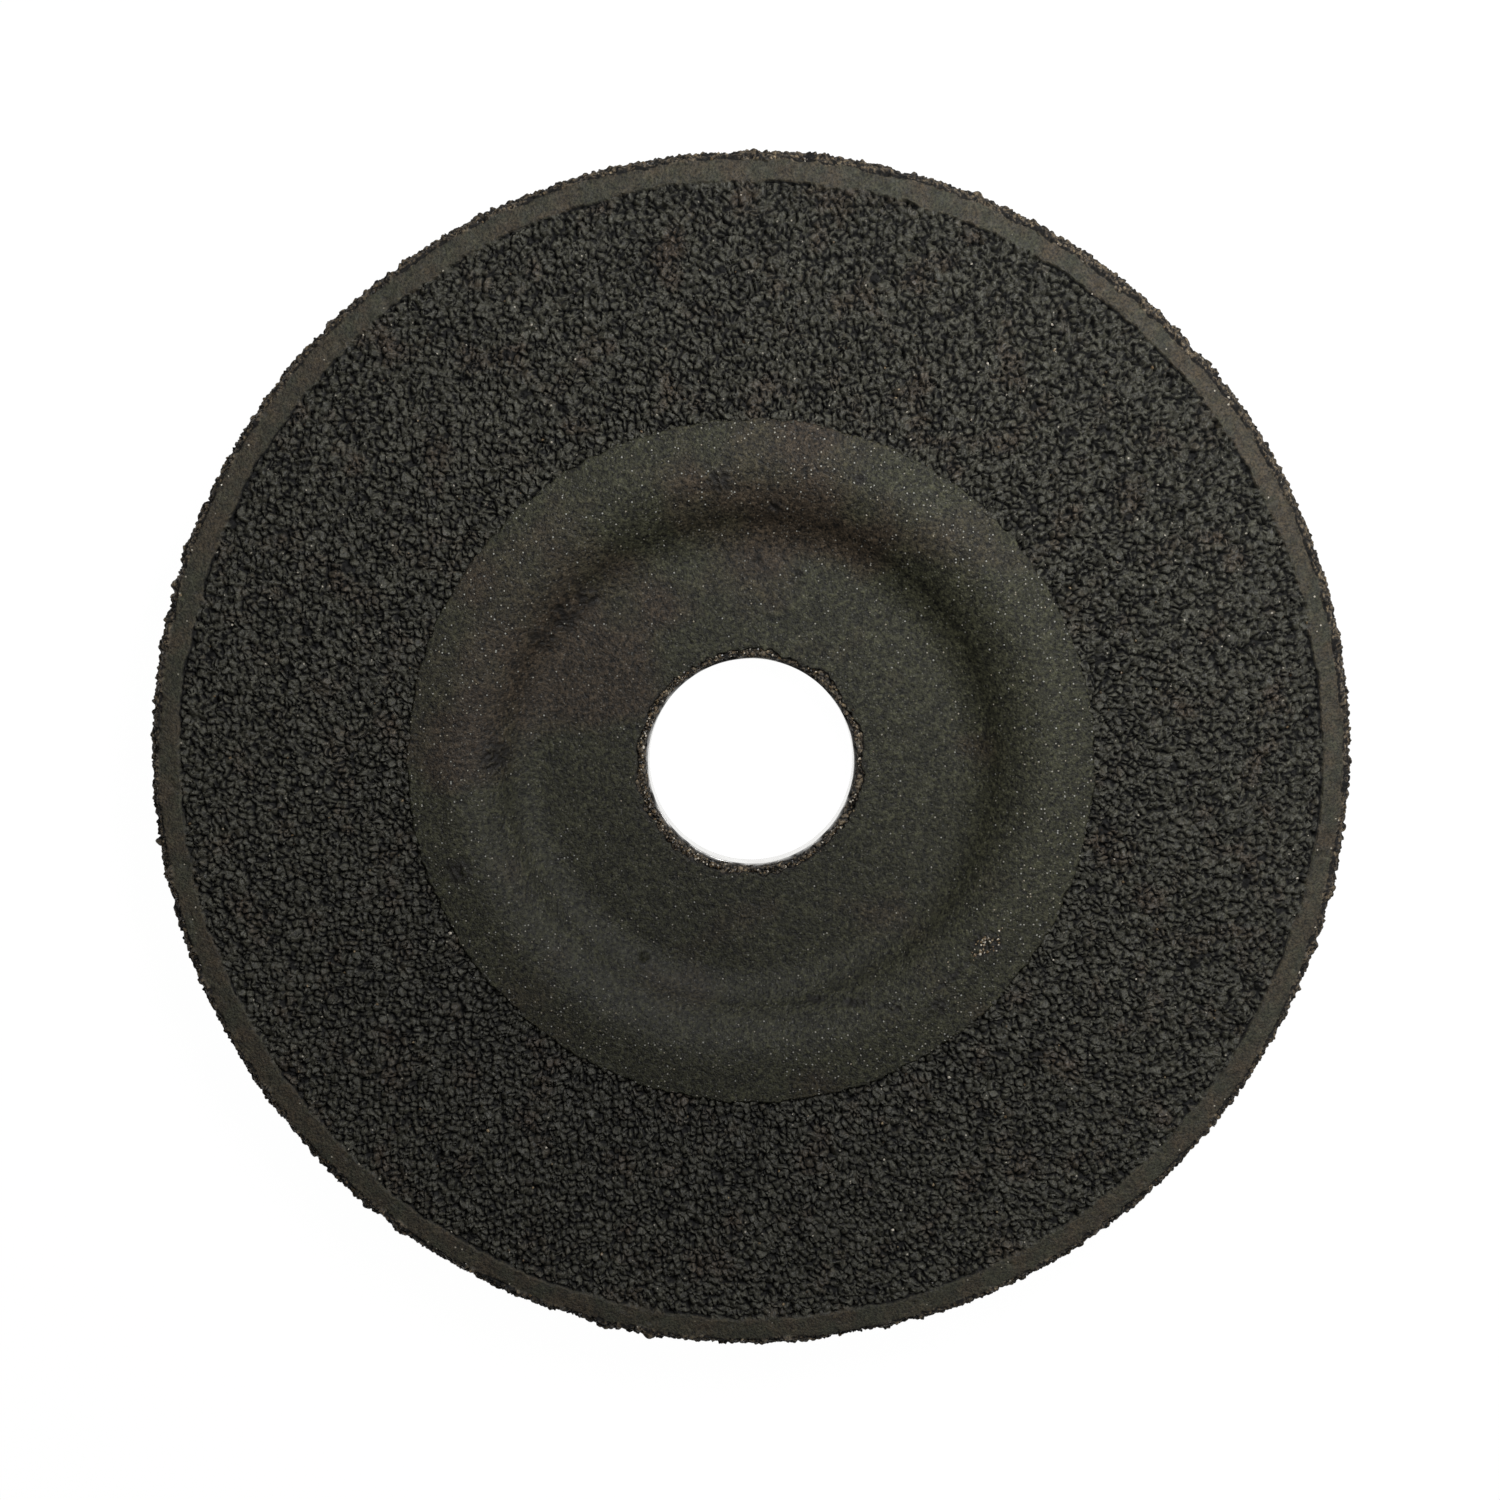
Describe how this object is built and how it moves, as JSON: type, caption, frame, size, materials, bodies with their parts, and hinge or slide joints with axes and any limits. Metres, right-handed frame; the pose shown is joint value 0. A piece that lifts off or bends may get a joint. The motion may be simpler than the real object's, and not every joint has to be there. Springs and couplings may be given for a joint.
{
  "type": "depressed-centre grinding disc",
  "caption": "Round bonded-abrasive grinding disc with a recessed hub, a steel-ringed centre bore, a pebbled working face and a flat rim band.",
  "frame": {"origin": "on the spin axis, in the plane of the centre ring's back flange, which the grinder's flange clamps", "axes": "+Z along the spin axis towards the recessed working face; +X and +Y run along the weft and the warp of the nets"},
  "size_m": [0.125, 0.125, 0.0096],
  "materials": {
    "abrasive": "black resin-bonded grit, rough and pebbled",
    "resin_skin": "smooth greenish-black phenolic resin with fine bright specks",
    "ring_steel": "thin pressed sheet steel",
    "label_paper": "plain dark matt paper with no print",
    "glass_fibre": "flat glass-fibre yarn soaked in dark resin"
  },
  "bodies": {
    "root": {"front_abrasive_layer": "abrasive", "back_abrasive_layer": "abrasive", "hub_facing": "resin_skin", "centre_ring": "ring_steel", "paper_label": "label_paper", "back_net_warp": "glass_fibre", "back_net_weft": "glass_fibre", "centre_net_warp": "glass_fibre", "centre_net_weft": "glass_fibre", "hub_net_warp": "glass_fibre", "hub_net_weft": "glass_fibre"}
  },
  "joints": []
}
